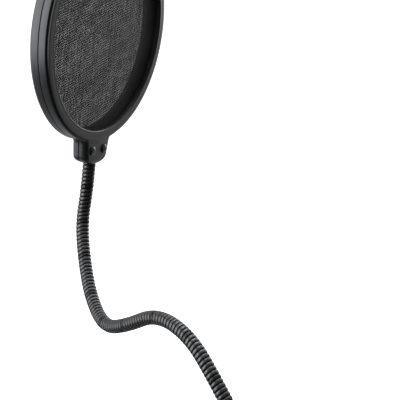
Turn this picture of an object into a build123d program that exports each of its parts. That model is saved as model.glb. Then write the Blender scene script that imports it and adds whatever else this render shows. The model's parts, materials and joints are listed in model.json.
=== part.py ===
from build123d import *
from math import radians, tan
import os

# Pop filter for a studio microphone: a round double-mesh screen on a gooseneck, with a stand clamp.
# Millimetres. The origin is the middle of the stand tube that the clamp grips, +Z runs up the tube,
# +Y runs along the clamp screw towards its knob, and the neck leaves the clamp towards -X.

# Screen head, in its own frame: Z is the screen's axis, Y points from the hub to the screen's centre.
HEAD_CENTRE = (-212.7, 190.6, 261.2)
HEAD_TURN = 27.0  # degrees that the face is turned towards -Y
HEAD_TILT = 6.6  # degrees that the face looks down
HEAD_ROLL = 1.0  # degrees that the hub swings about the screen's axis
HOOP_R = 77.5
HOOP_HALF = 5.9  # half of the hoop's thickness
HOOP_WALL = 1.8
LIP_R = 69.5
LIP_Z = 7.35  # height of the lip above the parting plane
FACE_ROOT_R = 76.0  # where the crowned face starts inside the hoop's edge
GROOVE = 0.45  # chamfer of the parting groove and depth of the edge groove
MESH_R = 75.0
MESH_T = 0.35
MESH_Z = 4.0  # inner face of each mesh
SPACER_R = 70.0
SPACER_WALL = 1.6

# Hub at the foot of the screen
HUB_TOP = 74.0  # distances from the screen's centre
HUB_WAIST = 87.5
HUB_FOOT = 93.4
HUB_TOP_W = 34.4
HUB_WAIST_W = 30.0
HUB_FOOT_W = 16.0
HUB_HALF = 6.4  # half of the hub's thickness
HUB_EDGE = 3.0  # rounding between the hub's face and its sides
HUB_CORNER = 2.5  # rounding at the hub's waist and foot
SCREW_X = 7.6
SCREW_Y = 83.5
SCREW_R = 1.5
SCREW_HEAD_R = 3.2
SCREW_HEAD_H = 1.5
HOLE_GAP = 0.15  # round a screw in a clearance hole
NUT_DEPTH = 0.6  # from the hub's rear face to its nuts
NUT_AF = 5.5
NUT_H = 2.4

# Gooseneck
RIB_R = 4.65
RIB_W = 1.9
RIB_PITCH = 2.9
CORE_R = 3.95
CORE_BORE_R = 2.0
BALL_R = 3.4
SOCKET_R = 3.7
BALL_BACK = 1.6  # where the core stops short of its ball's centre
SOCKET_BACK = 0.9  # where the socket's rim stops short of the joint
RIB_BACK = 1.45  # gap from a joint to the nearest rib
END_RIBS = 2  # on the straight core at each end
ARC_SHARE = 0.85  # share of each half run that the bend takes
FERRULE_R = 4.6
FLANGE_TOP = 76.5  # top of the ferrule's flange, from the screen's centre
FLANGE_SIZE = (13.0, 3.0, 8.8)
LAST_JOINT = 101.4  # from the screen's centre
LAST_HALF_RUN = 13.5
ROUTE = [
    (-30, 0, 0),
    (-72, 0, 0),
    (-102, 6, 14),
    (-120, 17, 36),
    (-135, 30, 63),
    (-151, 49, 86),
    (-172, 77, 92),
    (-193, 103, 76),
    (-209, 128, 67),
    (-220, 153, 80),
    (-226, 174, 101),
    (-229, 190, 124),
]

# Clamp
TUBE_R = 12.5
CLAMP_W = 20.0  # along the tube
SPINE_X = (-32.0, -22.0)
JAW_Y = (-26.0, -17.0)
ARM_Y = (31.0, 44.0)
JAW_REACH = 13.5
ARM_REACH = 11.0
FRAME_CORNER = 3.0
PAD_W = 26.0
PAD_TOP = -6.0
PAD_SCREW_Z = 6.0
PAD_SCREW_DEPTH = 2.5  # into the pad
PAD_SCREW_HEAD_R = 2.8
PAD_SCREW_HEAD_H = 1.8
BOSS_R = 8.0
BOSS_END = -40.0
NECK_SOCKET_END = -26.0
COLLAR_R = 6.4
COLLAR_T = 2.5
GRUB_X = -36.0
GRUB_R = 2.0
INSERT_R = 6.0
INSERT_FLANGE_R = 7.5
INSERT_FLANGE = 1.0
THREAD_FIT_R = 3.97
STUD_R = 3.9
TIP_R = 3.1
FOOT_FACE = 12.65
FOOT_R = 9.5
FOOT_RUBBER = 2.0
FOOT_BACK = 19.0
FOOT_STEP = 1.6  # height of the boss on the cup's back
FOOT_BOSS_R = 6.0
TIP_DEPTH = 3.0
STUD_GAP = 0.3
KNOB_Y = (66.0, 82.0)
KNOB_R = 14.0
KNOB_LOBES = 6
KNOB_INSERT_R = 6.0
KNOB_END = 4.0  # solid end of the knob, past the stud
SCALLOP_R = 4.6
SCALLOP_AT = 2.2  # centre of a scallop, outside the knob
CAP_R = 7.0
CAP_DEPTH = 1.6
CAP_RISE = 0.6


def direction(start, end):
    """Unit vector from one point to another."""
    return (Vector(end) - Vector(start)).normalized()


def upright(start, end, radius):
    """Cylinder whose axis runs between two points."""
    line = Vector(end) - Vector(start)
    return extrude(Plane(origin=start, z_dir=line) * Circle(radius), line.length)


def tube(start, end, outer, inner):
    """Straight tube between two points."""
    return upright(start, end, outer) - upright(start, end, inner)


def turned(points, location=Location()):
    """Ring turned about Z from an outline of (radius, height) points."""
    return location * revolve(Plane.XZ * make_face(Polyline(*points, close=True)), Axis.Z)


def save(node, shape):
    """Write one node's STEP file."""
    solids = [solid for piece in (shape if isinstance(shape, list) else [shape]) for solid in piece.solids()]
    export_step(solids[0] if len(solids) == 1 else Compound(children=solids), f"parts/{node}.step")


# ---------------------------------------------------------------- screen head
HEAD_BASE = Plane(origin=(0, 0, 0), x_dir=(0, 1, 0), z_dir=(1, 0, 0)).location
HEAD = Pos(*HEAD_CENTRE) * Rot(Z=-HEAD_TURN) * Rot(Y=HEAD_TILT) * HEAD_BASE * Rot(Z=-HEAD_ROLL)
REAR = Rot(Y=180)


def hub_axis_point(distance):
    """Point on the hub's axis at a distance below the screen's centre."""
    return (HEAD * Pos(0, -distance, 0)).position


def hoop_half():
    """Half of the hoop: outer wall, crowned face, lip and the ledge that the mesh sits against."""
    edge = HOOP_R - GROOVE
    crown_top = (LIP_R + 0.9, LIP_Z)
    outline = Polyline(
        (LIP_R, LIP_Z - 0.2),
        (LIP_R, MESH_Z + MESH_T),
        (HOOP_R - HOOP_WALL, MESH_Z + MESH_T),
        (HOOP_R - HOOP_WALL, 0),
        (edge, 0),
        (HOOP_R, GROOVE),
        (HOOP_R, HOOP_HALF - GROOVE),
        (edge, HOOP_HALF),
        (FACE_ROOT_R + 0.6, HOOP_HALF),
        (FACE_ROOT_R + 0.4, HOOP_HALF - GROOVE),
        (FACE_ROOT_R, HOOP_HALF - GROOVE),
        (FACE_ROOT_R - 0.2, HOOP_HALF),
    )
    crown = ThreePointArc(outline @ 1, (FACE_ROOT_R - 2.6, LIP_Z - 0.45), crown_top)
    lip = Polyline(crown_top, (LIP_R + 0.2, LIP_Z), outline @ 0)
    return revolve(Plane.XZ * make_face([outline, crown, lip]), Axis.Z)


def hub_outline():
    """Hub seen along the screen's axis: slightly tapered sides and a bevelled foot round the neck."""
    levels = ((HUB_TOP_W, HUB_TOP), (HUB_WAIST_W, HUB_WAIST), (HUB_FOOT_W, HUB_FOOT))
    left = [(-width / 2, -height) for width, height in levels]
    right = [(width / 2, -height) for width, height in reversed(levels)]
    shape = make_face(Polyline(*left, *right, close=True))
    return fillet(shape.vertices().filter_by(lambda v: v.Y < -HUB_TOP - 1), HUB_CORNER)


def hub_half():
    """Half of the hub's block, outside the hoop's cavity."""
    block = extrude(hub_outline(), HUB_HALF)
    rims = block.edges().group_by(Axis.Z)[-1].filter_by(lambda e: e.center().Y < -HUB_TOP - 1)
    return fillet(rims, HUB_EDGE) - Cylinder(HOOP_R - HOOP_WALL, 4 * HUB_HALF)


def ferrule_pocket():
    """Space in the two hub halves for the neck's ferrule, its flange and the neck's mouth."""
    width, height, depth = FLANGE_SIZE
    flange = Pos(0, -FLANGE_TOP - height / 2, 0) * Box(width + 0.4, height + 0.4, depth + 0.4)
    ferrule = upright((0, -FLANGE_TOP, 0), (0, -HUB_FOOT + 1.0, 0), FERRULE_R)
    mouth = upright((0, -HUB_FOOT + 2.0, 0), (0, -HUB_FOOT - 1, 0), RIB_R + 0.15)
    return flange + ferrule + mouth


def hub_holes(radius, low, high):
    """Pair of holes or pins at the hub's screws."""
    return [upright((x, -SCREW_Y, low), (x, -SCREW_Y, high), radius) for x in (-SCREW_X, SCREW_X)]


def nut_prism(across_flats, low, high):
    """Pair of hexagonal prisms at the hub's screws."""
    hexagon = RegularPolygon(across_flats / 2, 6, major_radius=False)
    return [Pos(x, -SCREW_Y, low) * extrude(hexagon, high - low) for x in (-SCREW_X, SCREW_X)]


def front_shell():
    """Front half of the casing: hoop and hub with clearance holes."""
    holes = hub_holes(SCREW_R + HOLE_GAP, -1, 2 * HUB_HALF)
    return HEAD * (hoop_half() + hub_half() - ferrule_pocket() - holes)


def rear_shell():
    """Rear half of the casing, with hexagonal pockets for the nuts."""
    back = REAR * (hoop_half() + hub_half() - ferrule_pocket())
    holes = hub_holes(SCREW_R + HOLE_GAP, -2 * HUB_HALF, 1)
    pockets = nut_prism(NUT_AF + 0.1, -2 * HUB_HALF, -HUB_HALF + NUT_DEPTH + NUT_H)
    return HEAD * (back - holes - pockets)


def spacer_ring():
    """Channel ring inside the hoop that presses both meshes against their ledges."""
    outer = HOOP_R - HOOP_WALL - 0.2
    inner = SPACER_R + SPACER_WALL
    flange = MESH_Z - SPACER_WALL
    half = [(SPACER_R, MESH_Z), (outer, MESH_Z), (outer, flange), (inner, flange)]
    return turned(half + [(r, -z) for r, z in reversed(half)], HEAD)


def mesh_disc(side):
    """One stretched mesh, on the face side (1) or the rear side (-1)."""
    middle = side * (MESH_Z + MESH_T / 2)
    return HEAD * Pos(0, 0, middle) * Cylinder(MESH_R, MESH_T)


def hub_screws():
    """Two pan-head screws that close the hub, driven from the face side."""
    heads = []
    for shank in hub_holes(SCREW_R, -HUB_HALF + 0.4, HUB_HALF):
        centre = shank.center()
        top = Pos(centre.X, centre.Y, HUB_HALF + SCREW_HEAD_H / 2) * Cylinder(SCREW_HEAD_R, SCREW_HEAD_H)
        top = fillet(top.edges().group_by(Axis.Z)[-1], 0.6)
        recess = Pos(centre.X, centre.Y, HUB_HALF + SCREW_HEAD_H) * (Box(3.0, 0.7, 1.6) + Box(0.7, 3.0, 1.6))
        heads.append(HEAD * (shank + top - recess))
    return heads


def hub_nuts():
    """Hexagonal nuts in the rear half of the hub."""
    low = -HUB_HALF + NUT_DEPTH
    nuts = zip(nut_prism(NUT_AF, low, low + NUT_H), hub_holes(SCREW_R, -2 * HUB_HALF, HUB_HALF))
    return [HEAD * (nut - hole) for nut, hole in nuts]


def upper_ferrule():
    """Ferrule crimped on the neck's top end, with the square flange that the hub traps."""
    width, height, depth = FLANGE_SIZE
    sleeve = upright((0, -FLANGE_TOP, 0), (0, -HUB_FOOT + 1.0, 0), FERRULE_R)
    flange = Pos(0, -FLANGE_TOP - height / 2, 0) * Box(width, height, depth)
    return HEAD * (sleeve + flange - upright((0, -FLANGE_TOP - 1, 0), (0, -HUB_FOOT, 0), CORE_R))


# ---------------------------------------------------------------- gooseneck
LAST_RUN = [hub_axis_point(LAST_JOINT + LAST_HALF_RUN), hub_axis_point(LAST_JOINT - LAST_HALF_RUN)]
NECK_POINTS = [Vector(p) for p in ROUTE] + LAST_RUN
JOINTS = [(a + b) / 2 for a, b in zip(NECK_POINTS, NECK_POINTS[1:])]
RUNS = [direction(a, b) for a, b in zip(NECK_POINTS, NECK_POINTS[1:])]
LINKS = range(1, len(JOINTS))


def bend_radius(link):
    """Radius of a link's arc, from its corner's two half runs and its turn."""
    corner = NECK_POINTS[link]
    shorter = min((corner - JOINTS[link - 1]).length, (JOINTS[link] - corner).length)
    return ARC_SHARE * shorter / tan(radians(RUNS[link - 1].get_angle(RUNS[link])) / 2)


def link_path(link, start_gap, end_gap):
    """Straight run, tangent arc and straight run of one link, short of its joints by the gaps."""
    start = JOINTS[link - 1] + RUNS[link - 1] * start_gap
    end = JOINTS[link] - RUNS[link] * end_gap
    return FilletPolyline(start, NECK_POINTS[link], end, radius=bend_radius(link))


def swept(path, radius):
    """Round bar along a path."""
    return sweep(Plane(origin=path @ 0, z_dir=path % 0) * Circle(radius), path=path)


def ball_end(joint):
    """Ball that ends a core at a joint."""
    return Pos(*JOINTS[joint]) * Sphere(BALL_R)


def socket_space(joint):
    """Space that a joint's ball turns in."""
    return Pos(*JOINTS[joint]) * Sphere(SOCKET_R)


def neck_core(link):
    """Hollow core of one link, with a socket at its lower end and a ball at its upper end."""
    bar = swept(link_path(link, SOCKET_BACK, BALL_BACK), CORE_R) + ball_end(link)
    return bar - socket_space(link - 1) - swept(link_path(link, 0, -BALL_R - 1), CORE_BORE_R)


def rib():
    """One rounded rib of the winding, round Z."""
    half, root = RIB_W / 2, CORE_R + 0.05
    shoulder = (root + RIB_R) / 2
    wall = Polyline((shoulder, half), (root, half), (root, -half), (shoulder, -half))
    crest = ThreePointArc((shoulder, -half), (RIB_R, 0), (shoulder, half))
    return revolve(Plane.XZ * make_face([wall, crest]), Axis.Z)


def neck_ribs(link):
    """Ribs of one link, evenly spaced between its joints."""
    path = link_path(link, 0, 0)
    first = RIB_BACK + RIB_W / 2
    span = path.length - 2 * first
    steps = round(span / RIB_PITCH)
    ring = rib()
    places = [first + span * step / steps for step in range(steps + 1)]
    at = [(path.position_at(s / path.length), path.tangent_at(s / path.length)) for s in places]
    return [Plane(origin=point, z_dir=along).location * ring for point, along in at]


def end_ribs(joint, run):
    """Two ribs on the straight core beside the first or last joint."""
    ring = rib()
    gaps = [RIB_BACK + RIB_W / 2 + RIB_PITCH * step for step in range(END_RIBS)]
    return [Plane(origin=JOINTS[joint] + run * gap, z_dir=run).location * ring for gap in gaps]


def neck_root():
    """Lower end of the neck's core, in the clamp, with the first ball."""
    start = Vector(NECK_SOCKET_END - 1, 0, 0)
    bar = upright(start, JOINTS[0] - RUNS[0] * BALL_BACK, CORE_R) + ball_end(0)
    return bar - upright(start, JOINTS[0] + RUNS[0] * (BALL_R + 1), CORE_BORE_R)


def neck_tip():
    """Upper end of the neck's core, in the hub, with the last socket."""
    end = hub_axis_point(FLANGE_TOP + 1)
    bar = tube(JOINTS[-1] + RUNS[-1] * SOCKET_BACK, end, CORE_R, CORE_BORE_R)
    return bar - socket_space(len(JOINTS) - 1)


# ---------------------------------------------------------------- clamp
def clamp_frame():
    """C-shaped frame in the XY plane, with the neck's boss on its spine."""
    spine, back = SPINE_X[1], SPINE_X[0]
    outline = Polyline(
        (back, JAW_Y[0]),
        (JAW_REACH, JAW_Y[0]),
        (JAW_REACH, JAW_Y[1]),
        (spine, JAW_Y[1]),
        (spine, ARM_Y[0]),
        (ARM_REACH, ARM_Y[0]),
        (ARM_REACH, ARM_Y[1]),
        (back, ARM_Y[1]),
        close=True,
    )
    plate = fillet(make_face(outline).vertices(), FRAME_CORNER)
    frame = Pos(0, 0, -CLAMP_W / 2) * extrude(plate, CLAMP_W)
    frame = frame + upright((spine - 1, 0, 0), (BOSS_END, 0, 0), BOSS_R)
    frame = frame - upright((BOSS_END - 1, 0, 0), (NECK_SOCKET_END, 0, 0), FERRULE_R)
    frame = frame - upright((0, ARM_Y[0] - 1, 0), (0, ARM_Y[1] + 1, 0), INSERT_R)
    frame = frame - upright((GRUB_X, 0, 0), (GRUB_X, 0, BOSS_R + 1), GRUB_R)
    return frame - pad_screw_rods(JAW_Y[0] - 1, JAW_Y[1] + 1, SCREW_R + 0.1)


def pad_screw_rods(low, high, radius):
    """Pair of holes or pins at the pad's screws, between two heights along Y."""
    return [upright((0, low, z), (0, high, z), radius) for z in (-PAD_SCREW_Z, PAD_SCREW_Z)]


def jaw_pad():
    """Rubber pad of the fixed jaw, hollowed to the stand tube's radius."""
    block = Pos(0, (JAW_Y[1] + PAD_TOP) / 2, 0) * Box(PAD_W, PAD_TOP - JAW_Y[1], CLAMP_W)
    holes = pad_screw_rods(JAW_Y[1] - 1, JAW_Y[1] + PAD_SCREW_DEPTH, SCREW_R)
    return block - Cylinder(TUBE_R, 2 * CLAMP_W) - holes


def pad_screws():
    """Two screws that hold the jaw pad, from outside the fixed jaw."""
    pins = pad_screw_rods(JAW_Y[0] - 0.5, JAW_Y[1] + PAD_SCREW_DEPTH, SCREW_R)
    heads = pad_screw_rods(JAW_Y[0] - PAD_SCREW_HEAD_H, JAW_Y[0], PAD_SCREW_HEAD_R)
    return [pin + head for pin, head in zip(pins, heads)]


def thread_insert():
    """Flanged brass insert in the moving arm, bored for the clamp stud."""
    bush = upright((0, ARM_Y[0], 0), (0, ARM_Y[1], 0), INSERT_R)
    flange = upright((0, ARM_Y[0] - INSERT_FLANGE, 0), (0, ARM_Y[0], 0), INSERT_FLANGE_R)
    return bush + flange - upright((0, ARM_Y[0] - 2, 0), (0, ARM_Y[1] + 1, 0), THREAD_FIT_R)


def lower_ferrule():
    """Flanged ferrule between the neck's lower end and the boss."""
    sleeve = upright((NECK_SOCKET_END - 1, 0, 0), (BOSS_END, 0, 0), FERRULE_R)
    flange = upright((BOSS_END, 0, 0), (BOSS_END - COLLAR_T, 0, 0), COLLAR_R)
    return sleeve + flange - upright((NECK_SOCKET_END, 0, 0), (BOSS_END - COLLAR_T - 1, 0, 0), CORE_R)


def neck_set_screw():
    """Grub screw that holds the neck's ferrule in the boss."""
    screw = upright((GRUB_X, 0, FERRULE_R), (GRUB_X, 0, BOSS_R - 0.4), GRUB_R)
    return screw - Pos(GRUB_X, 0, BOSS_R - 1.4) * extrude(RegularPolygon(GRUB_R / 2, 6), 2)


def foot_pad():
    """Rubber face of the pressure foot."""
    return upright((0, FOOT_FACE, 0), (0, FOOT_FACE + FOOT_RUBBER, 0), FOOT_R)


def foot_cup():
    """Metal cup that carries the rubber face and turns on the stud's tip."""
    seat = FOOT_FACE + FOOT_RUBBER
    cup = upright((0, seat, 0), (0, FOOT_BACK - FOOT_STEP, 0), FOOT_R)
    cup = cup + upright((0, seat, 0), (0, FOOT_BACK, 0), FOOT_BOSS_R)
    return cup - upright((0, FOOT_BACK - TIP_DEPTH, 0), (0, FOOT_BACK + 1, 0), TIP_R + 0.08)


def clamp_stud():
    """Clamp stud, with a plain tip that turns in the cup."""
    tip = upright((0, FOOT_BACK - TIP_DEPTH + STUD_GAP, 0), (0, FOOT_BACK + STUD_GAP, 0), TIP_R)
    return tip + upright((0, FOOT_BACK + STUD_GAP, 0), (0, KNOB_Y[1] - KNOB_END, 0), STUD_R)


def knob_insert():
    """Steel insert moulded into the knob and pinned to the stud."""
    return tube((0, KNOB_Y[0], 0), (0, KNOB_Y[1] - KNOB_END, 0), KNOB_INSERT_R, STUD_R)


def clamp_knob():
    """Lobed knob."""
    scallops = PolarLocations(KNOB_R + SCALLOP_AT, KNOB_LOBES) * Circle(SCALLOP_R)
    face = Circle(KNOB_R) - scallops
    body = extrude(fillet(face.vertices(), 1.2), KNOB_Y[1] - KNOB_Y[0])
    body = Location(Plane(origin=(0, KNOB_Y[0], 0), x_dir=(1, 0, 0), z_dir=(0, 1, 0))) * body
    bore = upright((0, KNOB_Y[0] - 1, 0), (0, KNOB_Y[1] - KNOB_END, 0), KNOB_INSERT_R)
    return body - bore - knob_cap_space()


def knob_cap_space():
    """Recess in the knob's end for its cap."""
    return upright((0, KNOB_Y[1] - CAP_DEPTH, 0), (0, KNOB_Y[1] + 1, 0), CAP_R)


def knob_cap():
    """Press-in cap that closes the knob's end."""
    return upright((0, KNOB_Y[1] - CAP_DEPTH, 0), (0, KNOB_Y[1] + CAP_RISE, 0), CAP_R - 0.1)


def main():
    os.makedirs("parts", exist_ok=True)
    save("front_shell", front_shell())
    save("rear_shell", rear_shell())
    save("spacer_ring", spacer_ring())
    save("front_mesh", mesh_disc(1))
    save("rear_mesh", mesh_disc(-1))
    save("hub_screws", hub_screws())
    save("hub_nuts", hub_nuts())
    save("upper_ferrule", upper_ferrule())
    save("neck_tip", neck_tip())
    save("neck_tip_ribs", end_ribs(-1, RUNS[-1]))
    for link in LINKS:
        save(f"neck_core_{link:02d}", neck_core(link))
        save(f"neck_ribs_{link:02d}", neck_ribs(link))
    save("neck_root", neck_root())
    save("neck_root_ribs", end_ribs(0, -RUNS[0]))
    save("lower_ferrule", lower_ferrule())
    save("neck_set_screw", neck_set_screw())
    save("clamp_frame", clamp_frame())
    save("jaw_pad", jaw_pad())
    save("pad_screws", pad_screws())
    save("thread_insert", thread_insert())
    save("foot_pad", foot_pad())
    save("foot_cup", foot_cup())
    save("clamp_stud", clamp_stud())
    save("clamp_knob", clamp_knob())
    save("knob_insert", knob_insert())
    save("knob_cap", knob_cap())


main()
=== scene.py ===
import json
from bisect import bisect
from math import acos, cos, degrees, pi, radians, sin, sqrt, tau

import bmesh
import bpy
from mathutils import Matrix, Vector


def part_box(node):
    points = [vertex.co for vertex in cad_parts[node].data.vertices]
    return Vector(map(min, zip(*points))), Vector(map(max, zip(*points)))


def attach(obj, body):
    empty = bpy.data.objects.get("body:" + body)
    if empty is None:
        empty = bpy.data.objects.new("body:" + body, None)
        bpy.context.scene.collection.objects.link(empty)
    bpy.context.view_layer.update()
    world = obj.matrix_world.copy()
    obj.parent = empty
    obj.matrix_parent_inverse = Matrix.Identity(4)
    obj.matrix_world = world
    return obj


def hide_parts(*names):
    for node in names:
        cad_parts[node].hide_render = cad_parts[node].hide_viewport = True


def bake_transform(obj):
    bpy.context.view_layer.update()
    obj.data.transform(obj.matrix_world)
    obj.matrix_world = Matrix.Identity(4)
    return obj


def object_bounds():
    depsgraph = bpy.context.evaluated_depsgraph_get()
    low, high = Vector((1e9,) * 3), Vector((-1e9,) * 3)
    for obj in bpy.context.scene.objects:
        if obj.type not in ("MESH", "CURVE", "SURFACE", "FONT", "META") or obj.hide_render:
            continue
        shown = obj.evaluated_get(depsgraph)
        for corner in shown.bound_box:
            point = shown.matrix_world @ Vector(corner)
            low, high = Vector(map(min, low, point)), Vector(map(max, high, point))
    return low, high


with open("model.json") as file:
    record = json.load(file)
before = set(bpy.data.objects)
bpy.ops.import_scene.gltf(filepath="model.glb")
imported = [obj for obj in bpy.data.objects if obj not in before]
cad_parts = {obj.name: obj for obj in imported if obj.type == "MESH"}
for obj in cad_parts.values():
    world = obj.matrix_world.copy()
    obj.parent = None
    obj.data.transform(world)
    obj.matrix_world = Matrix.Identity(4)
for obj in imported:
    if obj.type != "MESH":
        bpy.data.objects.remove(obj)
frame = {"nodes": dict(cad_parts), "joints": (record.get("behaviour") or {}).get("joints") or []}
cad_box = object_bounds()
MM = 0.001

# ---------------------------------------------------------------- sizes, in millimetres
HOOP_R = 77.5
HOOP_HALF = 5.9  # half of the hoop's thickness
HOOP_INNER_R = 75.7
LIP_R = 69.5
LIP_Z = 7.35  # top of the lip, above the parting plane
BEAD_R = 0.8  # rounding of the lip
LEDGE_Z = 4.35  # ledge that the mesh lies against
SEAM = 0.4
MESH_R = 75.0
MESH_Z = 4.175  # middle of a mesh's thickness
THREAD_PITCH = 0.55
THREAD_SHARE = 0.57  # of the pitch that a thread covers

HUB_TOP = 75.0  # distances from the screen's centre
HUB_WAIST = 87.5
HUB_FOOT = 93.4
HUB_Z = 6.25  # half of the hub's thickness
HUB_LEVELS = [75.0, 75.5, 76.0, 76.6, 77.2, 77.8, 79, 81, 83, 85, 86.5]
HUB_LEVELS += [87.5, 88.5, 89.5, 90.4, 91.2, 91.9, 92.5, 93.0, HUB_FOOT]
NUT_SEAT = 3.3  # bottom of the nut pockets
NUT_POCKET_R = 3.3
SCREW_HEAD_R = 3.2
SCREW_HEAD_H = 1.6
SCREW_X = 7.6
SCREW_Y = 83.5

NECK_CORNER = (-30.0, 0.0, 0.0)  # first corner of the neck's route
NECK_ENTRY = -41.0  # where the winding starts, in the lower ferrule
NECK_EXIT = 10.5  # how far the winding runs past its last joint, into the hub
NECK_R = 4.65
NECK_VALLEY_R = 4.0
NECK_PITCH = 2.9
NECK_ROWS = 12
NECK_COLUMNS = 40

CLAMP_HALF = 10.0  # half of the clamp's width along the tube
CLAMP_EDGE = 1.1
TUBE_R = 12.5
BOSS_R = 8.0
GRUB_X = -36.0
GRUB_R = 2.0
BOSS_END = -40.0
FERRULE_R = 4.55
CORE_R = 3.97  # bore of the ferrule and of the bush
FLARE = 1.8  # fillet where the boss meets the spine
ARM_Y = (31.0, 44.0)
JAW_Y = (-26.0, -17.0)
PAD_SCREW_Z = 6.0
PAD_TOP = -6.0
PAD_HALF = 13.0
FOOT_FACE = 12.65
FOOT_SEAT = 14.65  # between the foot's rubber and its cup
FOOT_R = 9.5
STUD_PITCH = 1.25
STUD_R = 3.93
STUD_ROOT_R = 3.3
KNOB_Y = (66.0, 82.0)
KNOB_R = 14.0
KNOB_LOBES = 6
KNOB_LOBE_DEPTH = 2.4

FLOOR_DROP = 0.25  # metres from the object's lowest point to the floor
FLOOR_HALF = 12.0  # metres


# ---------------------------------------------------------------- places read from the frame
def centre(node):
    """Middle of a CAD node's box."""
    low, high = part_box(node)
    return (low + high) / 2


def head_frame():
    """Screen's own frame: Z along its axis towards the sound, Y from the hub to the centre."""
    disc = frame["nodes"]["front_mesh"].data
    axis = max(disc.polygons, key=lambda p: p.area).normal.copy()
    front, rear = centre("front_mesh"), centre("rear_mesh")
    if axis.dot(front - rear) < 0:
        axis.negate()
    middle = (front + rear) / 2
    down = centre("hub_screws") - middle
    up = -(down - axis * down.dot(axis)).normalized()
    side = up.cross(axis)
    turn = Matrix((side, up, axis)).transposed().to_4x4()
    return Matrix.Translation(middle) @ turn


HEAD = head_frame()
IDENTITY = Matrix.Identity(4)


# ---------------------------------------------------------------- mesh helpers
def mesh_object(name, points, faces, place=IDENTITY, sharp=35.0, uvs=None, crest=None):
    """Mesh from points in millimetres, put in place and shaded smooth up to an angle."""
    data = bpy.data.meshes.new(name)
    data.from_pydata([place @ (Vector(p) * MM) for p in points], [], faces)
    if uvs:
        layer = data.uv_layers.new(name="UVMap")
        for loop in data.loops:
            layer.data[loop.index].uv = uvs[loop.vertex_index]
    if crest:
        data.attributes.new("crest", "FLOAT", "POINT").data.foreach_set("value", crest)
    obj = bpy.data.objects.new(name, data)
    bpy.context.scene.collection.objects.link(obj)
    tidy(obj, sharp)
    return obj


def tidy(obj, sharp=35.0):
    """Outward normals, and hard edges only where faces meet at more than an angle."""
    work = bmesh.new()
    work.from_mesh(obj.data)
    bmesh.ops.remove_doubles(work, verts=work.verts, dist=1e-7)
    bmesh.ops.recalc_face_normals(work, faces=work.faces)
    for face in work.faces:
        face.smooth = True
    for edge in work.edges:
        edge.smooth = len(edge.link_faces) == 2 and edge.calc_face_angle() < radians(sharp)
    work.to_mesh(obj.data)
    work.free()
    obj.data.update()


def arc(centre_point, radius, start, end, steps):
    """Points on an arc, from one angle to another, in degrees."""
    cx, cy = centre_point
    angles = [radians(start + (end - start) * i / steps) for i in range(steps + 1)]
    return [(cx + radius * cos(a), cy + radius * sin(a)) for a in angles]


def rounded(corners, steps=4):
    """Closed outline whose corners, given as (x, y, radius), are rounded."""
    points = []
    for i, (x, y, radius) in enumerate(corners):
        before, after = (Vector(corners[k % len(corners)][:2]) for k in (i - 1, i + 1))
        here = Vector((x, y))
        a, b = (before - here).normalized(), (after - here).normalized()
        half = a.angle(b) / 2
        if radius <= 0 or half > radians(89):
            points.append((x, y))
            continue
        reach = radius / abs(sin(half) / cos(half))
        first, last = here + a * reach, here + b * reach
        for k in range(steps + 1):
            t = k / steps
            p = first * (1 - t) ** 2 + here * 2 * t * (1 - t) + last * t**2
            points.append((p.x, p.y))
    return points


def turned(name, outline, place, segments=128, sharp=35.0):
    """Closed ring turned about Z from an outline of (radius, height) that stays off the axis."""
    points, faces, rows = [], [], len(outline)
    for k in range(segments):
        a = tau * k / segments
        points += [(r * cos(a), r * sin(a), z) for r, z in outline]
    for k in range(segments):
        n = (k + 1) % segments
        for i in range(rows):
            j = (i + 1) % rows
            faces.append((k * rows + i, n * rows + i, n * rows + j, k * rows + j))
    return mesh_object(name, points, faces, place, sharp)


def spun(name, outline, place, segments=96, sharp=35.0):
    """Solid turned about Z from an open outline whose two ends lie on the axis."""
    inner = outline[1:-1]
    points, faces, rows = [(0, 0, outline[0][1]), (0, 0, outline[-1][1])], [], len(inner)
    for k in range(segments):
        a = tau * k / segments
        points += [(r * cos(a), r * sin(a), z) for r, z in inner]
    for k in range(segments):
        n = (k + 1) % segments
        faces.append((0, 2 + n * rows, 2 + k * rows))
        faces.append((1, 2 + k * rows + rows - 1, 2 + n * rows + rows - 1))
        for i in range(2, rows + 1):
            faces.append((k * rows + i, n * rows + i, n * rows + i + 1, k * rows + i + 1))
    return mesh_object(name, points, faces, place, sharp)


def lofted(name, sections, place=IDENTITY, sharp=35.0):
    """Closed solid through sections, each a loop of the same number of points."""
    size = len(sections[0])
    points = [p for section in sections for p in section]
    faces = [tuple(range(size))[::-1], tuple(range(len(points) - size, len(points)))]
    for k in range(len(sections) - 1):
        for i in range(size):
            j = (i + 1) % size
            faces.append((k * size + i, k * size + j, (k + 1) * size + j, (k + 1) * size + i))
    return mesh_object(name, points, faces, place, sharp)


def slab(name, outline, low, high, edge, place=IDENTITY, sharp=35.0):
    """Plate with rounded rims: an outline in XY, from one height to another."""
    obj = lofted(name, [[(x, y, z) for x, y in outline] for z in (low, high)], place, sharp)
    if edge:
        bevel = obj.modifiers.new("rim", "BEVEL")
        bevel.width, bevel.segments, bevel.limit_method = edge * MM, 4, "ANGLE"
        bevel.angle_limit = radians(50)
        apply_modifiers(obj)
        tidy(obj, sharp)
    return obj


def apply_modifiers(obj):
    """Puts the modifiers' result in the mesh."""
    graph = bpy.context.evaluated_depsgraph_get()
    graph.update()
    data = bpy.data.meshes.new_from_object(obj.evaluated_get(graph))
    obj.modifiers.clear()
    old, obj.data = obj.data, data
    bpy.data.meshes.remove(old)
    data.name = obj.name


def combine(obj, tools, how, sharp=35.0):
    """Joins or cuts obj with other closed meshes, which are then removed."""
    for tool in tools:
        step = obj.modifiers.new("cut", "BOOLEAN")
        step.operation, step.solver, step.object = how, "EXACT", tool
        step.use_self = how == "UNION"
    apply_modifiers(obj)
    for tool in tools:
        bpy.data.objects.remove(tool)
    tidy(obj, sharp)
    return obj


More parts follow.
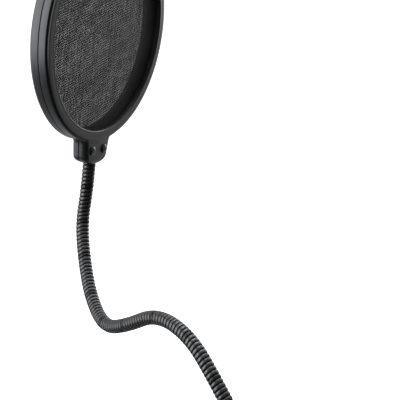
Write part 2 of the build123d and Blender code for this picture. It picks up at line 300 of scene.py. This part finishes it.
def moved(x, y, z):
    """Place moved by millimetres."""
    return Matrix.Translation(Vector((x, y, z)) * MM)


def cylinder(name, radius, low, high, place, segments=64):
    """Plain closed cylinder, used as a cutting tool."""
    return spun(name, [(0, low), (radius, low), (radius, high), (0, high)], place, segments)


# ---------------------------------------------------------------- materials
def new_material(name):
    """Material with a Principled shader, and its nodes, links and shader."""
    mat = bpy.data.materials.new(name)
    mat.use_nodes = True
    nodes, links = mat.node_tree.nodes, mat.node_tree.links
    return mat, nodes, links, nodes["Principled BSDF"]


def noise(nodes, links, scale, detail=4.0, roughness=0.55):
    """Noise texture in the object's own space, with a scale per metre."""
    where = nodes.new("ShaderNodeTexCoord")
    tex = nodes.new("ShaderNodeTexNoise")
    tex.inputs["Scale"].default_value = scale
    tex.inputs["Detail"].default_value = detail
    tex.inputs["Roughness"].default_value = roughness
    links.new(where.outputs["Object"], tex.inputs["Vector"])
    return tex.outputs["Fac"]


def spread(nodes, links, value, low, high, start=0.35, end=0.65):
    """Maps a value's middle stretch to a range."""
    node = nodes.new("ShaderNodeMapRange")
    node.inputs["From Min"].default_value = start
    node.inputs["From Max"].default_value = end
    node.inputs["To Min"].default_value = low
    node.inputs["To Max"].default_value = high
    links.new(value, node.inputs["Value"])
    return node.outputs["Result"]


def mixed(nodes, links, factor, first, second):
    """Colour between two colours."""
    node = nodes.new("ShaderNodeMix")
    node.data_type = "RGBA"
    for socket, colour in ((node.inputs[6], first), (node.inputs[7], second)):
        if isinstance(colour, bpy.types.NodeSocket):
            links.new(colour, socket)
        else:
            socket.default_value = (*colour, 1)
    links.new(factor, node.inputs["Factor"])
    return node.outputs[2]


def bumped(nodes, links, shader, heights):
    """Bump from (height, distance in millimetres) pairs, chained."""
    normal = None
    for height, distance in heights:
        node = nodes.new("ShaderNodeBump")
        node.inputs["Distance"].default_value = distance * MM
        links.new(height, node.inputs["Height"])
        if normal:
            links.new(normal, node.inputs["Normal"])
        normal = node.outputs["Normal"]
    links.new(normal, shader.inputs["Normal"])


def finish_material(name, dark, light, rough, metallic=0.0, specular=0.5, grain=2500, depth=0.02):
    """Moulded, coated or plated surface: mottled colour, uneven gloss and a fine grain.

    grain is per metre, and depth is the grain's in millimetres."""
    mat, nodes, links, shader = new_material(name)
    shader.inputs["Metallic"].default_value = metallic
    shader.inputs["Specular IOR Level"].default_value = specular
    broad = noise(nodes, links, 60, 5.0)
    fine = noise(nodes, links, grain, 3.0, 0.6)
    colour = mixed(nodes, links, spread(nodes, links, broad, 0, 1), dark, light)
    links.new(colour, shader.inputs["Base Color"])
    links.new(spread(nodes, links, broad, rough[0], rough[1]), shader.inputs["Roughness"])
    bumped(nodes, links, shader, [(fine, depth)])
    return mat


def neck_wear_and_painted_shade_material():
    """Black coated winding, lighter on its crests from wear and from a painted highlight, and darker and dull
    in its valleys as painted shade.
    """
    mat, nodes, links, shader = new_material("neck_coat")
    crest = nodes.new("ShaderNodeAttribute")
    crest.attribute_name = "crest"
    scratches = noise(nodes, links, 900, 6.0, 0.65)
    fine = noise(nodes, links, 4200, 2.0)
    # Crest share times scratches: worn lighter crests that also carry a painted highlight, with painted shade
    # left in the valleys.
    wear_and_painted_highlight = nodes.new("ShaderNodeMath")
    wear_and_painted_highlight.operation = "MULTIPLY"
    links.new(crest.outputs["Fac"], wear_and_painted_highlight.inputs[0])
    links.new(spread(nodes, links, scratches, 0.25, 1.0), wear_and_painted_highlight.inputs[1])
    # Base colour from near-black valleys (painted shade) to lighter crests (wear and painted highlight).
    colour = mixed(nodes, links, wear_and_painted_highlight.outputs[0], (0.002, 0.002, 0.0022), (0.012, 0.0115, 0.0125))
    links.new(colour, shader.inputs["Base Color"])
    # Specular level from the crest share: near zero in the valleys as painted shade, high on the crests as a
    # painted highlight.
    gloss = spread(nodes, links, crest.outputs["Fac"], 0.04, 0.75, 0.3, 0.95)
    links.new(gloss, shader.inputs["Specular IOR Level"])
    links.new(spread(nodes, links, scratches, 0.3, 0.44), shader.inputs["Roughness"])
    bumped(nodes, links, shader, [(fine, 0.012)])
    return mat


def weave_material(name, turn, pitch, bands):
    """Open woven mesh: two sets of round threads with holes between them.

    turn is in degrees and pitch in millimetres. bands are patches of denser and thinner weave, as
    (angle, length, width, strength), with the first three in degrees and millimetres."""
    mat, nodes, links, shader = new_material(name)
    where = nodes.new("ShaderNodeTexCoord")
    place = nodes.new("ShaderNodeMapping")
    place.inputs["Rotation"].default_value = (0, 0, radians(turn))
    links.new(where.outputs["UV"], place.inputs["Vector"])
    split = nodes.new("ShaderNodeSeparateXYZ")
    links.new(place.outputs["Vector"], split.inputs["Vector"])

    def math(kind, first, second=None):
        node = nodes.new("ShaderNodeMath")
        node.operation = kind
        for socket, value in zip(node.inputs, (first, second)):
            if isinstance(value, bpy.types.NodeSocket):
                links.new(value, socket)
            elif value is not None:
                socket.default_value = value
        return node.outputs[0]

    def thread(axis):
        """1 on a thread's crown and 0 midway between threads, and the phase."""
        phase = math("MULTIPLY", axis, tau / pitch)
        return math("MULTIPLY_ADD", math("COSINE", phase), 0.5), phase

    def uneven(angle, length, width, strength):
        """Change in the threads' cover, in stretched patches."""
        turned_to = nodes.new("ShaderNodeMapping")
        turned_to.inputs["Rotation"].default_value = (0, 0, radians(-angle))
        links.new(where.outputs["UV"], turned_to.inputs["Vector"])
        stretched = nodes.new("ShaderNodeMapping")
        stretched.inputs["Scale"].default_value = (1 / length, 1 / width, 1)
        links.new(turned_to.outputs["Vector"], stretched.inputs["Vector"])
        patches = nodes.new("ShaderNodeTexNoise")
        patches.inputs["Scale"].default_value = 1.0
        patches.inputs["Detail"].default_value = 2.0
        links.new(stretched.outputs["Vector"], patches.inputs["Vector"])
        return spread(nodes, links, patches.outputs["Fac"], -strength, strength)

    warp, warp_phase = thread(split.outputs["X"])
    weft, weft_phase = thread(split.outputs["Y"])
    top = math("MAXIMUM", warp, weft)
    edge = 0.5 + 0.5 * cos(pi * THREAD_SHARE)
    cover = top
    for band in bands:
        cover = math("ADD", cover, uneven(*band))
    solid = spread(nodes, links, cover, 0.0, 1.0, edge - 0.08, edge + 0.08)
    lint = noise(nodes, links, 1500, 4.0, 0.6)
    share = spread(nodes, links, lint, 0, 1)
    colour = mixed(nodes, links, share, (0.003, 0.0028, 0.0025), (0.008, 0.0073, 0.006))
    links.new(colour, shader.inputs["Base Color"])
    links.new(spread(nodes, links, lint, 0.55, 0.7), shader.inputs["Roughness"])
    shader.inputs["Specular IOR Level"].default_value = 0.12
    shader.inputs["Specular Tint"].default_value = (1.0, 0.93, 0.84, 1)
    shader.inputs["Sheen Weight"].default_value = 0.02
    shader.inputs["Sheen Roughness"].default_value = 0.5
    links.new(solid, shader.inputs["Alpha"])
    over = math("SINE", math("MULTIPLY", warp_phase, 0.5))
    under = math("SINE", math("MULTIPLY", weft_phase, 0.5))
    bumped(nodes, links, shader, [(top, 0.08), (math("MULTIPLY", over, under), 0.05)])
    return mat


FRONT_BANDS = [(22, 45, 4.5, 0.09), (86, 30, 2.2, 0.08)]
REAR_BANDS = [(14, 60, 6.0, 0.06), (97, 40, 3.0, 0.08)]
# name, dark and light colour, roughness range, and what differs from the defaults
SHELL = finish_material(
    "shell_plastic", (0.013, 0.0135, 0.017), (0.019, 0.0195, 0.024), (0.33, 0.42), grain=3000, depth=0.018
)
INNER = finish_material(
    "inner_plastic", (0.004, 0.004, 0.005), (0.008, 0.008, 0.009), (0.5, 0.62), specular=0.3
)
# Neck coat with a painted highlight on its crests and painted shade in its valleys.
NECK = neck_wear_and_painted_shade_material()
FRONT_WEAVE = weave_material("front_weave", 5.0, THREAD_PITCH, FRONT_BANDS)
REAR_WEAVE = weave_material("rear_weave", -14.0, 1.07 * THREAD_PITCH, REAR_BANDS)
BLACK_STEEL = finish_material(
    "black_steel", (0.008, 0.008, 0.009), (0.016, 0.016, 0.018), (0.24, 0.36),
    specular=0.7, grain=1800, depth=0.008,
)
ZINC = finish_material(
    "zinc_steel", (0.5, 0.5, 0.51), (0.66, 0.66, 0.67), (0.22, 0.38), metallic=1.0, grain=1500, depth=0.01
)
BRASS = finish_material(
    "brass", (0.55, 0.36, 0.13), (0.7, 0.5, 0.22), (0.25, 0.42), metallic=1.0, grain=1500, depth=0.01
)
POWDER = finish_material(
    "clamp_powder_coat", (0.009, 0.009, 0.01), (0.016, 0.016, 0.017), (0.42, 0.55), grain=1400, depth=0.06
)
KNOB = finish_material(
    "knob_plastic", (0.008, 0.008, 0.009), (0.014, 0.014, 0.015), (0.4, 0.52), grain=2200, depth=0.035
)
RUBBER = finish_material(
    "rubber", (0.009, 0.009, 0.009), (0.02, 0.019, 0.018), (0.66, 0.82), specular=0.35, grain=1800, depth=0.03
)


def dress(obj, material, body, slot, *nodes):
    """Gives a new piece its material and body, and hides the CAD nodes that it stands for. slot is not used.
    """
    obj.data.materials.clear()
    obj.data.materials.append(material)
    if body:
        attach(obj, body)
    if nodes:
        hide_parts(*nodes)
    return obj


def coat_node(node, material):
    """Better material on a CAD node that stays."""
    data = frame["nodes"][node].data
    data.materials.clear()
    data.materials.append(material)


# ---------------------------------------------------------------- screen head
def hoop_outline():
    """Half hoop's section: parting chamfer, edge groove, crowned face and lip."""
    crown = arc((72.9, -11.55), 18.9, 80.7, 94.0, 10)
    lip = arc((LIP_R + BEAD_R, LIP_Z + 0.15 - BEAD_R), BEAD_R, 75, 180, 10)
    root = rounded(
        [
            (HOOP_INNER_R, LEDGE_Z, 0),
            (HOOP_INNER_R, 0, 0),
            (HOOP_R - SEAM, 0, 0),
            (HOOP_R, SEAM, 0.15),
            (HOOP_R, HOOP_HALF, 0.9),
            (76.75, HOOP_HALF, 0.12),
            (76.45, HOOP_HALF - 0.6, 0.08),
            (76.1, HOOP_HALF - 0.6, 0.08),
            (crown[0][0], crown[0][1], 0),
            (LIP_R, LEDGE_Z, 0),
        ]
    )
    return root[:-1] + crown[1:] + lip + root[-1:]


def hub_half_width(distance):
    """Half of the hub's width, at a distance below the screen's centre."""
    flare = max(0.0, (77.6 - distance) / 2.6) ** 2 * 1.6
    taper = 17.0 - (distance - HUB_TOP) * 0.16
    foot = max(0.0, (distance - HUB_WAIST) / (HUB_FOOT - HUB_WAIST))
    return taper + flare - 7.6 * foot**2.5


def hub_half_depth(distance):
    """Half of the hub's thickness, at a distance below the screen's centre."""
    foot = max(0.0, (distance - HUB_FOOT + 2.6) / 2.6)
    return HUB_Z - 1.1 * foot**2.2


def hub_section(distance):
    """Hub's outline at a distance below the screen's centre, flat on the parting plane."""
    width, depth = hub_half_width(distance), hub_half_depth(distance)
    edge = min(4.2, depth - SEAM - 0.6)
    right = [(width - SEAM, 0.0), (width, SEAM)]
    for k in range(9):
        a = radians(90 * k / 8)
        right.append((width - edge + edge * cos(a), depth - edge + edge * sin(a)))
    loop = right + [(-x, z) for x, z in reversed(right)]
    return [(x, -distance, z) for x, z in loop]


def casing(name, front):
    """Front or rear half of the casing, with its hub half, screw seats and neck mouth."""
    place = HEAD if front else HEAD @ Matrix.Rotation(pi, 4, "Y")
    hoop = turned(name, hoop_outline(), place, 288)
    hub = lofted(name + "_hub", [hub_section(level) for level in HUB_LEVELS], place)
    combine(hoop, [hub], "UNION")
    down = place @ Matrix.Rotation(pi / 2, 4, "X")
    tools = [cylinder("mouth", NECK_R + 0.2, 91.4, 96, down)]
    for x in (-SCREW_X, SCREW_X):
        seat = place @ moved(x, -SCREW_Y, 0)
        if front:
            tools.append(cylinder("seat", SCREW_HEAD_R + 0.35, HUB_Z - 0.25, HUB_Z + 3, seat))
        else:
            tools.append(cylinder("pocket", NUT_POCKET_R, NUT_SEAT, 9, seat, 6))
    return combine(hoop, tools, "DIFFERENCE")


def pan_screw(name, place, radius, height, shank):
    """Pan-head screw along Z with a cross recess, its head standing on the plane z = 0."""
    dome = [(radius * sin(radians(a)), height * (0.45 + 0.55 * cos(radians(a)))) for a in range(0, 91, 10)]
    shank_r, length = shank
    outline = dome + [(radius, 0.0), (shank_r, 0.0), (shank_r, -length), (0, -length)]
    screw = spun(name, outline, place, 64)
    tools = []
    half = radius * 0.52
    for quarter in (0, pi / 2):
        blade = [(-half, -0.32), (half, -0.32), (half, 0.32), (-half, 0.32)]
        bottom = [(x * 0.45, y * 0.7, height * 0.25) for x, y in blade]
        top = [(x, y, height + 0.4) for x, y in blade]
        tools.append(lofted("blade", (bottom, top), place @ Matrix.Rotation(quarter + 0.5, 4, "Z")))
    return combine(screw, tools, "DIFFERENCE")


def join(objects, name):
    """Joins several meshes into the first."""
    whole = bmesh.new()
    for obj in objects:
        whole.from_mesh(obj.data)
    keep = objects[0]
    whole.to_mesh(keep.data)
    whole.free()
    for obj in objects[1:]:
        bpy.data.objects.remove(obj)
    keep.name = keep.data.name = name
    return keep


def screw_pair(name, places, radius, height, shank):
    """Two pan-head screws in one object."""
    return join([pan_screw(f"{name}_{i}", p, radius, height, shank) for i, p in enumerate(places)], name)


def hub_screws():
    """Two black pan-head screws on the hub's face."""
    places = [HEAD @ moved(x, -SCREW_Y, HUB_Z - 0.2) for x in (-SCREW_X, SCREW_X)]
    return screw_pair("hub_screw_pair", places, SCREW_HEAD_R, SCREW_HEAD_H, (1.5, 8.0))


def weave_disc(name, height):
    """Stretched mesh disc of quads, with its plane coordinates in millimetres as UVs."""
    rings, spokes = 24, 144
    points, faces = [(0, 0, height)], []
    for ring in range(1, rings + 1):
        r = MESH_R * ring / rings
        points += [(r * cos(tau * k / spokes), r * sin(tau * k / spokes), height) for k in range(spokes)]
    for k in range(spokes):
        n = (k + 1) % spokes
        faces.append((0, 1 + k, 1 + n))
        for ring in range(rings - 1):
            a, b = 1 + ring * spokes, 1 + (ring + 1) * spokes
            faces.append((a + k, b + k, b + n, a + n))
    return mesh_object(name, points, faces, HEAD, uvs=[(x, y) for x, y, _ in points])


dress(casing("casing_front", True), SHELL, "head", "shell_plastic", "front_shell")
dress(casing("casing_rear", False), SHELL, "head", "shell_plastic", "rear_shell")
dress(hub_screws(), BLACK_STEEL, "head", "black_steel", "hub_screws")
for mesh_name, node, side, weave in (
    ("screen_mesh_front", "front_mesh", 1, FRONT_WEAVE),
    ("screen_mesh_rear", "rear_mesh", -1, REAR_WEAVE),
):
    disc = weave_disc(mesh_name, side * MESH_Z)
    dress(disc, weave, "head", "mesh_fabric", node)
coat_node("spacer_ring", INNER)
coat_node("hub_nuts", ZINC)
coat_node("upper_ferrule", ZINC)


# ---------------------------------------------------------------- winding on a line
class Line:
    """Polyline, in metres, measured by its length, with frames that don't twist."""

    def __init__(self, points):
        self.points = points
        self.at = [0.0]
        for a, b in zip(points, points[1:]):
            self.at.append(self.at[-1] + (b - a).length)
        runs = [(b - a).normalized() for a, b in zip(points, points[1:])]
        middles = [(a + b).normalized() for a, b in zip(runs, runs[1:])]
        self.tangents = runs[:1] + middles + runs[-1:]
        side = self.tangents[0].orthogonal().normalized()
        self.sides = []
        for tangent in self.tangents:
            side = (side - tangent * side.dot(tangent)).normalized()
            self.sides.append(side)

    def frame_at(self, length):
        """Centre, side and up vectors at a length along the line."""
        length = min(max(length, 0.0), self.at[-1])
        low = min(bisect(self.at, length), len(self.at) - 1) - 1
        share = (length - self.at[low]) / (self.at[low + 1] - self.at[low])
        tangent = self.tangents[low].lerp(self.tangents[low + 1], share).normalized()
        side = self.sides[low].lerp(self.sides[low + 1], share)
        side = (side - tangent * side.dot(tangent)).normalized()
        return self.points[low].lerp(self.points[low + 1], share), side, tangent.cross(side)

    def nearest(self, point):
        """Index of the line's point nearest to a point."""
        return min(range(len(self.points)), key=lambda i: (self.points[i] - point).length)


def winding(name, line, first, turns, pitch, rows, columns, profile, sharp=60.0):
    """Solid wound round a line, whose two ends follow the winding's own valley.

    profile gives a radius and a crest share at each fraction of a pitch. Lengths are in millimetres."""
    points, crest, count = [], [], turns * rows + 1
    for i in range(count):
        radius, share = profile((i % rows) / rows)
        for j in range(columns):
            middle, side, up = line.frame_at((first + pitch * (i / rows + j / columns)) * MM)
            angle = tau * j / columns
            points.append(middle / MM + (side * cos(angle) + up * sin(angle)) * radius)
            crest.append(share)

    def at(i, j):
        return i * columns + j

    faces = []
    for i in range(count - 1):
        faces += [(at(i, j), at(i, j + 1), at(i + 1, j + 1), at(i + 1, j)) for j in range(columns - 1)]
    for i in range(count - 1 - rows):
        faces.append((at(i, columns - 1), at(i + rows, 0), at(i + rows + 1, 0), at(i + 1, columns - 1)))
    last = count - 1
    start_loop = [at(0, j) for j in range(columns)] + [at(rows - k, 0) for k in range(rows)]
    end_loop = [at(last - rows + k, columns - 1) for k in range(rows)]
    end_loop += [at(last, columns - 1 - j) for j in range(columns)]
    for loop, row in ((start_loop, 0), (end_loop, last - rows)):
        middle, _, _ = line.frame_at((first + pitch * (row / rows + 0.5)) * MM)
        faces += [(len(points), a, b) for a, b in zip(loop, loop[1:] + loop[:1])]
        points.append(middle / MM)
        crest.append(0.0)
    return mesh_object(name, points, faces, sharp=sharp, crest=crest)


# ---------------------------------------------------------------- gooseneck
def neck_profile(share):
    """Radius and crest share at a fraction of one pitch: a flattened wire, creased between its turns."""
    rise = sqrt(max(0.0, 1 - (2 * share - 1) ** 2))
    return NECK_VALLEY_R + (NECK_R - NECK_VALLEY_R) * rise, rise


def neck_line(joints):
    """Neck's centreline: between two joints, each link curves round its corner of the route."""
    start, corner = Vector((NECK_ENTRY, 0, 0)) * MM, Vector(NECK_CORNER) * MM
    points = [start.lerp(joints[0], i / 20) for i in range(20)]
    for first, last in zip(joints, joints[1:]):
        corner = 2 * first - corner
        for t in (i / 60 for i in range(60)):
            points.append(first * (1 - t) ** 2 + corner * 2 * t * (1 - t) + last * t**2)
    end = joints[-1] + HEAD.col[1].xyz * NECK_EXIT * MM
    return Line(points + [joints[-1].lerp(end, i / 20) for i in range(21)])


def build_neck():
    """One wound piece across each hinge, with its ends in a valley at the middle of each link."""
    joints = [Vector(j["pos_m"]) for j in frame["joints"] if j["name"].startswith("neck_bend")]
    line = neck_line(joints)
    stations = [line.at[line.nearest(joint)] / MM for joint in joints]
    cuts = [0.0] + [(a + b) / 2 for a, b in zip(stations, stations[1:])]
    cuts.append(line.at[-1] / MM - NECK_PITCH)
    cuts = [round(cut / NECK_PITCH) * NECK_PITCH for cut in cuts]
    for k, (joint, station) in enumerate(zip(joints, stations)):
        turns = round((cuts[k + 1] - cuts[k]) / NECK_PITCH) + 1
        name = f"neck_winding_{k + 1:02d}"
        piece = winding(name, line, cuts[k], turns, NECK_PITCH, NECK_ROWS, NECK_COLUMNS, neck_profile)
        nodes = [f"neck_core_{k + 1:02d}", f"neck_ribs_{k + 1:02d}"]
        if k == len(joints) - 1:
            nodes = ["neck_tip", "neck_tip_ribs"]
        if k == 0:
            nodes += ["neck_root", "neck_root_ribs"]
        dress(piece, NECK, None, "neck_wire", *nodes)
        tangent = line.tangents[line.nearest(joint)]
        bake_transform(piece)


build_neck()


# ---------------------------------------------------------------- clamp
SCREW_AXIS = Matrix.Rotation(-pi / 2, 4, "X")  # a place whose Z runs along +Y
NECK_AXIS = Matrix.Rotation(-pi / 2, 4, "Y")  # a place whose Z runs along -X


def clamp_casting():
    """C-shaped casting with rounded rims, a sunk web, the neck's boss and a collar round the insert."""
    corners = [
        (-32, JAW_Y[0], 5),
        (13.5, JAW_Y[0], 3),
        (13.5, JAW_Y[1], 2.5),
        (-22, JAW_Y[1], 4),
        (-22, ARM_Y[0], 4),
        (11, ARM_Y[0], 2.5),
        (11, ARM_Y[1], 3),
        (-32, ARM_Y[1], 5),
    ]
    casting = slab("clamp_casting", rounded(corners, 6), -CLAMP_HALF, CLAMP_HALF, CLAMP_EDGE)
    boss = [(0, 22.5), (BOSS_R + FLARE, 22.5)] + arc((BOSS_R + FLARE, 32 + FLARE), FLARE, 270, 180, 6)
    boss += [(BOSS_R, -BOSS_END - 0.8), (BOSS_R - 0.8, -BOSS_END), (0, -BOSS_END)]
    shapes = [spun("boss", boss, NECK_AXIS, 96)]
    collar = [(0, 32), (8.9, 32), (8.9, 44.6), (8.3, 45.2), (0, 45.2)]
    shapes.append(spun("collar", collar, SCREW_AXIS, 96))
    combine(casting, shapes, "UNION")
    web = [(-29, -22, 1.5), (-25, -22, 1.5), (-25, 39, 1.5), (-29, 39, 1.5)]
    tools = [slab("web", rounded(web, 5), side * 9.2 - 1, side * 9.2 + 1, 0) for side in (-1, 1)]
    tools.append(cylinder("insert_bore", 6.0, 30, 46, SCREW_AXIS))
    tools.append(cylinder("neck_bore", FERRULE_R + 0.05, 26, 42, NECK_AXIS))
    tools.append(cylinder("grub_bore", GRUB_R, 3, 12, moved(GRUB_X, 0, 0)))
    return combine(casting, tools, "DIFFERENCE")


def tube_pad():
    """Rubber pad of the fixed jaw, hollowed to the stand tube and grooved along it."""
    corners = [(-PAD_HALF, PAD_TOP), (-PAD_HALF, JAW_Y[1]), (PAD_HALF, JAW_Y[1]), (PAD_HALF, PAD_TOP)]
    outline = rounded([(x, y, 0.8) for x, y in corners])
    half_angle = degrees(acos(-PAD_TOP / TUBE_R))
    steps = 144
    for k in range(steps + 1):
        angle = half_angle - 2 * half_angle * k / steps
        groove = 0.5 * max(0.0, cos(radians(angle) * 24) - 0.55) / 0.45
        radius = TUBE_R + groove * min(1.0, (half_angle - abs(angle)) / 4)
        outline.append((radius * sin(radians(angle)), -radius * cos(radians(angle))))
    return slab("tube_pad", outline, -CLAMP_HALF, CLAMP_HALF, 0.5, sharp=30)


def jaw_screws():
    """Two pan-head screws that hold the pad, outside the fixed jaw."""
    outward = Matrix.Rotation(pi / 2, 4, "X")
    places = [moved(0, JAW_Y[0], z) @ outward for z in (-PAD_SCREW_Z, PAD_SCREW_Z)]
    return screw_pair("jaw_screw_pair", places, 2.8, 1.8, (1.5, 11))


def insert_bush():
    """Flanged brass bush in the moving arm."""
    sleeve = [(CORE_R, 30.3, 0.3), (CORE_R, 45.0, 0.3), (5.95, 45.0, 0.2), (5.95, 31, 0)]
    flange = [(7.5, 31, 0), (7.5, 30, 0.4), (4.3, 30, 0)]
    return turned("insert_bush", rounded(sleeve + flange), SCREW_AXIS, 96)


def neck_collar():
    """Flanged ferrule where the neck enters the boss."""
    sleeve = [(CORE_R, 27, 0), (FERRULE_R, 27, 0), (FERRULE_R, -BOSS_END, 0)]
    flange = [(6.4, -BOSS_END, 0.2), (6.4, 42.5, 0.7), (4.7, 42.5, 0.2), (4.7, 41.6, 0), (CORE_R, 41.6, 0)]
    return turned("neck_collar", rounded(sleeve + flange), NECK_AXIS, 96)


def foot_face():
    """Rubber face of the pressure foot, with rounded rims and round grooves."""
    outline = [(0, FOOT_FACE)]
    for radius in (2.4, 4.8, 7.2):
        groove = ((-0.4, 0), (-0.25, 0.3), (0.25, 0.3), (0.4, 0))
        outline += [(radius + x, FOOT_FACE + depth) for x, depth in groove]
    outline += arc((FOOT_R - 0.5, FOOT_FACE + 0.5), 0.5, 270, 360, 5)
    return spun("foot_face", outline + [(FOOT_R, FOOT_SEAT), (0, FOOT_SEAT)], SCREW_AXIS, 96)


def foot_swivel():
    """Steel cup behind the rubber face, with a rolled rim and the stud's socket."""
    back = [(3.18, 16.1, 0), (3.18, 19, 0.3), (6, 19, 0.8), (6.2, 17.6, 0.8), (FOOT_R, 17.4, 0.9)]
    front = [(FOOT_R, FOOT_SEAT, 0.2), (0.4, FOOT_SEAT, 0), (0.4, 16.1, 0)]
    return turned("foot_swivel", rounded(back + front, 6), SCREW_AXIS, 96)


def stud_profile(share):
    """Radius of a rounded V thread at a fraction of one pitch."""
    rise = 0.5 - 0.5 * cos(tau * share)
    return STUD_ROOT_R + (STUD_R - STUD_ROOT_R) * rise**0.8, rise


def stud():
    """Threaded stud with a plain tip, and plain where the knob hides it."""
    start, end = 21.3, KNOB_Y[0] + 1
    line = Line([Vector((0, y, 0)) * MM for y in (start - 2, end + 6)])
    thread = winding("stud", line, 2.0, round((end - start) / STUD_PITCH), STUD_PITCH, 8, 40, stud_profile)
    tip = [(0, 16.3), (2.6, 16.3), (3.1, 16.8), (3.1, 19.6), (3.6, 20.4), (3.6, 22.9), (0, 22.9)]
    shank = [(0, 64), (3.6, 64), (3.6, 77.9), (0, 77.9)]
    return join([thread, spun("tip", tip, SCREW_AXIS), spun("shank", shank, SCREW_AXIS)], "stud")


def knob():
    """Six-lobed knob with rounded rims, bored for its steel insert and its cap."""
    levels = [(1.6, 0.0), (0.9, 0.12), (0.35, 0.5), (0.08, 1.0), (0.0, 1.6)]
    levels = levels + [(inset, KNOB_Y[1] - KNOB_Y[0] - height) for inset, height in reversed(levels)]
    sections = []
    for inset, height in levels:
        loop = []
        for k in range(216):
            angle = tau * k / 216
            valley = (0.5 - 0.5 * cos(KNOB_LOBES * angle)) ** 1.4
            radius = KNOB_R - inset - KNOB_LOBE_DEPTH * valley
            loop.append((radius * sin(angle), radius * cos(angle), height))
        sections.append(loop)
    place = SCREW_AXIS @ Matrix.Translation(Vector((0, 0, KNOB_Y[0])) * MM)
    body = lofted("knob", sections, place, 40)
    tools = [cylinder("insert_space", 6.0, -1, 12, place), cylinder("cap_space", 7.0, 14.4, 18, place)]
    return combine(body, tools, "DIFFERENCE", 40)


def knob_button():
    """Domed cap in the knob's end."""
    dome = [(6.4 * sin(radians(a)), 15.9 + 0.65 * cos(radians(a))) for a in range(0, 91, 10)]
    place = SCREW_AXIS @ Matrix.Translation(Vector((0, 0, KNOB_Y[0])) * MM)
    return spun("knob_button", [(0, 16.55)] + dome[1:] + [(6.9, 15.5), (6.9, 14.4), (0, 14.4)], place, 96)


dress(clamp_casting(), POWDER, "clamp", "clamp_coat", "clamp_frame")
dress(tube_pad(), RUBBER, "clamp", "rubber", "jaw_pad")
dress(jaw_screws(), BLACK_STEEL, "clamp", "black_steel", "pad_screws")
dress(insert_bush(), BRASS, "clamp", "brass", "thread_insert")
dress(neck_collar(), BLACK_STEEL, "clamp", "black_steel", "lower_ferrule")
dress(foot_face(), RUBBER, "pressure_foot", "rubber", "foot_pad")
dress(foot_swivel(), BLACK_STEEL, "pressure_foot", "black_steel", "foot_cup")
dress(stud(), ZINC, "clamp_screw", "zinc_steel", "clamp_stud")
dress(knob(), KNOB, "clamp_screw", "knob_plastic", "clamp_knob")
dress(knob_button(), KNOB, "clamp_screw", "knob_plastic", "knob_cap")
coat_node("neck_set_screw", BLACK_STEEL)
coat_node("knob_insert", BRASS)


# ---------------------------------------------------------------- camera, light and floor
camera = bpy.data.objects.new("camera", bpy.data.cameras.new("camera"))
bpy.context.scene.collection.objects.link(camera)
camera.data.lens = 117
camera.data.sensor_width = 36
camera.data.clip_end = 50
camera.location = (-0.145, -0.710, 0.328)
camera.rotation_euler = (radians(90 - 11.7), 0, 0)
bpy.context.scene.camera = camera
bpy.context.scene.view_settings.view_transform = "Standard"


def soft_box(name, place, target, size, power):
    """Rectangular, slightly cool area light aimed at a point."""
    data = bpy.data.lights.new(name, "AREA")
    data.shape, data.size, data.size_y, data.energy = "RECTANGLE", size[0], size[1], power
    data.color = (0.93, 0.96, 1.0)
    light = bpy.data.objects.new(name, data)
    light.location = place
    light.rotation_euler = (Vector(target) - Vector(place)).to_track_quat("-Z", "Y").to_euler()
    bpy.context.scene.collection.objects.link(light)
    return light


def studio():
    """White floor and backdrop, soft boxes at the left, right and top, and little light from the front."""
    middle = (cad_box[0] + cad_box[1]) / 2
    low = cad_box[0].z - FLOOR_DROP
    half = FLOOR_HALF / MM
    corners = [(x * half, y * half, low / MM) for x, y in ((-1, -1), (1, -1), (1, 1), (-1, 1))]
    floor = mesh_object("floor", corners, [(0, 1, 2, 3)])
    mat, nodes, links, shader = new_material("floor_white")
    shader.inputs["Base Color"].default_value = (0.9, 0.9, 0.9, 1)
    shader.inputs["Roughness"].default_value = 0.9
    shader.inputs["Emission Color"].default_value = (1, 1, 1, 1)
    shader.inputs["Emission Strength"].default_value = 0.8
    floor.data.materials.append(mat)
    floor.visible_diffuse = floor.visible_glossy = False
    soft_box("left_box", middle + Vector((-1.0, -0.4, 0.25)), HEAD.translation, (0.6, 1.2), 14)
    soft_box("right_box", middle + Vector((0.75, 1.15, 0.4)), middle, (0.6, 1.0), 7)
    soft_box("edge_box", middle + Vector((-1.2, 0.15, 0.1)), middle, (0.4, 1.4), 5)
    soft_box("top_box", middle + Vector((-0.1, 0.3, 1.3)), middle, (1.2, 0.9), 18)
    surround()


def surround():
    """World that lights from behind and above, dark in front, and shows white to the camera."""
    world = bpy.data.worlds.new("studio")
    bpy.context.scene.world = world
    world.use_nodes = True
    nodes, links = world.node_tree.nodes, world.node_tree.links
    where = nodes.new("ShaderNodeTexCoord")
    split = nodes.new("ShaderNodeSeparateXYZ")
    links.new(where.outputs["Generated"], split.inputs["Vector"])
    behind = spread(nodes, links, split.outputs["Y"], 0.05, 0.75, -0.1, 0.8)
    above = spread(nodes, links, split.outputs["Z"], 0.0, 0.45, 0.1, 0.9)
    total = nodes.new("ShaderNodeMath")
    links.new(behind, total.inputs[0])
    links.new(above, total.inputs[1])
    paths = nodes.new("ShaderNodeLightPath")
    seen = mixed(nodes, links, paths.outputs["Is Camera Ray"], total.outputs[0], (1, 1, 1))
    links.new(seen, nodes["Background"].inputs["Color"])


studio()
